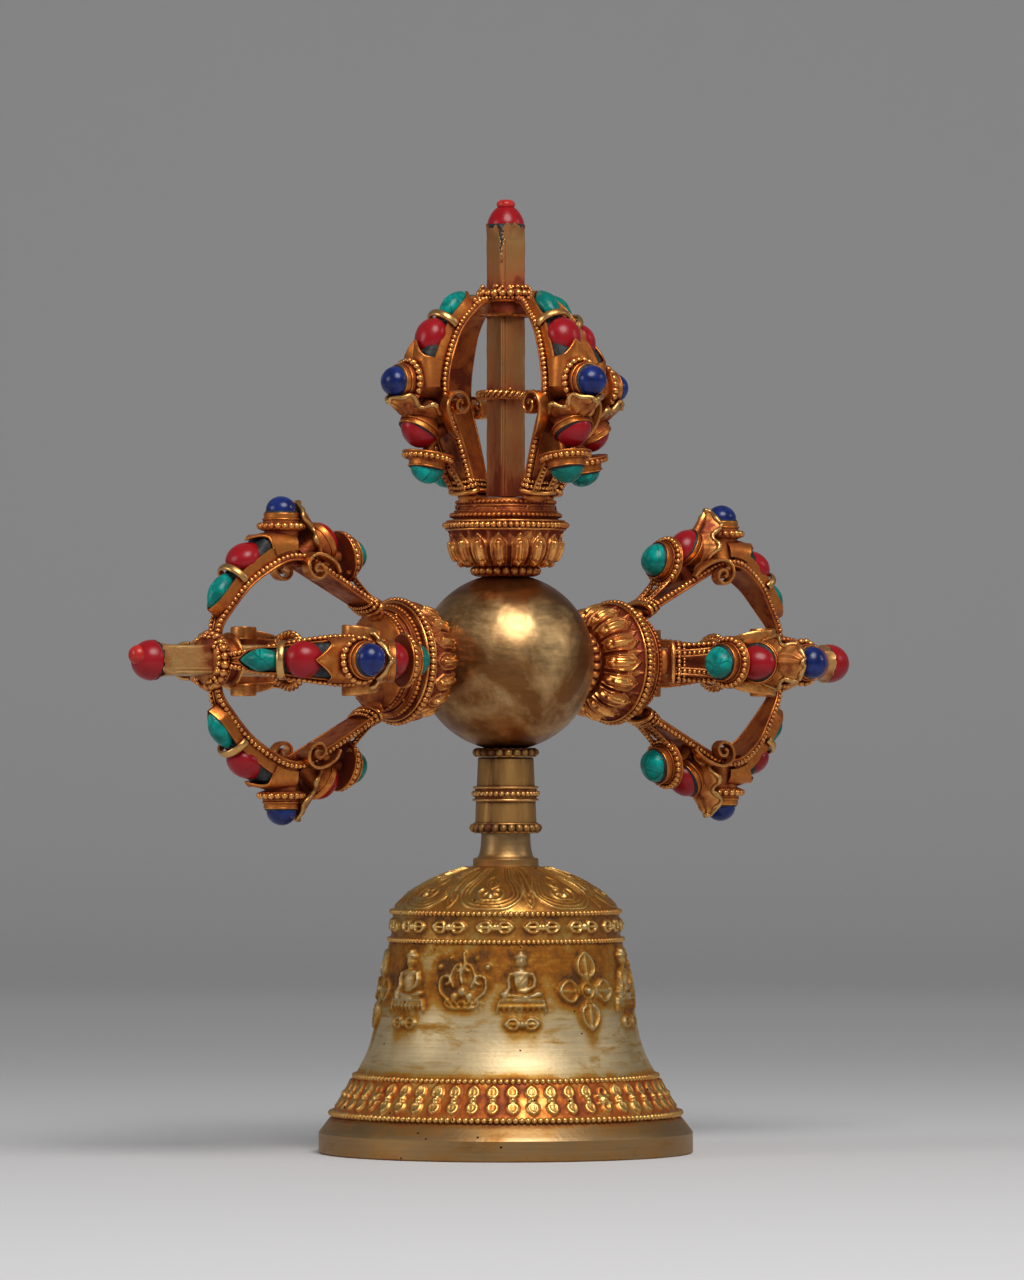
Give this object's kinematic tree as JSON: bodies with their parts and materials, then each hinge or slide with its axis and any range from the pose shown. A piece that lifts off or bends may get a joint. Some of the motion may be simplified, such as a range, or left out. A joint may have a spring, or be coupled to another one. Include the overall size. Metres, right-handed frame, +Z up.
{
  "type": "ritual hand bell",
  "caption": "Cast hand bell with a beaded rim, a hanging clapper and a handle of three pronged sceptre arms on a hollow ball, set with coral, turquoise and lapis.",
  "frame": {"origin": "centre of the rim's plane, on the axis of the bell", "axes": "+Z up along the bell's axis to the top arm, +X along the right arm, -Y to the front"},
  "size_m": [0.2159, 0.0898, 0.2285],
  "materials": {
    "bell_metal": "cast bell bronze, worn gilding, satin",
    "gilt_copper": "fire-gilt copper, worn to reddish copper in the recesses",
    "ball_brass": "hand-brushed sheet brass with brown stains",
    "iron": "forged, dark",
    "coral": "polished coral",
    "turquoise": "polished turquoise with dark matrix",
    "lapis": "polished lapis",
    "pitch": "black setting pitch"
  },
  "bodies": {
    "bell_and_handle": {"bell": "bell_metal", "clapper_staple": "iron", "neck_sleeve": "gilt_copper", "neck_foot_ring": "gilt_copper", "neck_band": "gilt_copper", "neck_collar": "gilt_copper", "ball": "ball_brass", "cross_rod": "iron", "top_base_ring": "gilt_copper", "top_lotus_cup": "gilt_copper", "top_lotus_rim_ring": "gilt_copper", "top_deck": "gilt_copper", "top_spike": "gilt_copper", "top_spike_ring": "gilt_copper", "top_tip_ring": "gilt_copper", "top_coral_cap": "coral", "top_prong_right": "gilt_copper", "top_prong_back": "gilt_copper", "top_prong_left": "gilt_copper", "top_prong_front": "gilt_copper", "top_lapis_right": "lapis", "top_lapis_back": "lapis", "top_lapis_left": "lapis", "top_lapis_front": "lapis", "right_base_ring": "gilt_copper", "right_lotus_cup": "gilt_copper", "right_lotus_rim_ring": "gilt_copper", "right_deck": "gilt_copper", "right_spike": "gilt_copper", "right_spike_ring": "gilt_copper", "right_tip_ring": "gilt_copper", "right_coral_cap": "coral", "right_prong_lower": "gilt_copper", "right_prong_back": "gilt_copper", "right_prong_upper": "gilt_copper", "right_prong_front": "gilt_copper", "right_lapis_lower": "lapis", "right_lapis_back": "lapis", "right_lapis_upper": "lapis", "right_lapis_front": "lapis", "left_base_ring": "gilt_copper", "left_lotus_cup": "gilt_copper", "left_lotus_rim_ring": "gilt_copper", "left_deck": "gilt_copper", "left_spike": "gilt_copper", "left_spike_ring": "gilt_copper", "left_tip_ring": "gilt_copper", "left_coral_cap": "coral", "left_prong_upper": "gilt_copper", "left_prong_back": "gilt_copper", "left_prong_lower": "gilt_copper", "left_prong_front": "gilt_copper", "left_lapis_upper": "lapis", "left_lapis_back": "lapis", "left_lapis_lower": "lapis", "left_lapis_front": "lapis"},
    "hanging_link": {"clapper_link": "iron"},
    "swinging_clapper": {"clapper": "iron"}
  },
  "joints": [
    {"name": "link_swing", "type": "hinge", "parent": "bell_and_handle", "child": "hanging_link", "pos_m": [0, 0, 0.056], "axis": [1, 0, 0], "range_deg": [-12, 12]},
    {"name": "clapper_swing", "type": "hinge", "parent": "hanging_link", "child": "swinging_clapper", "pos_m": [0, 0, 0.0505], "axis": [0, 1, 0], "range_deg": [-36, 36]}
  ]
}
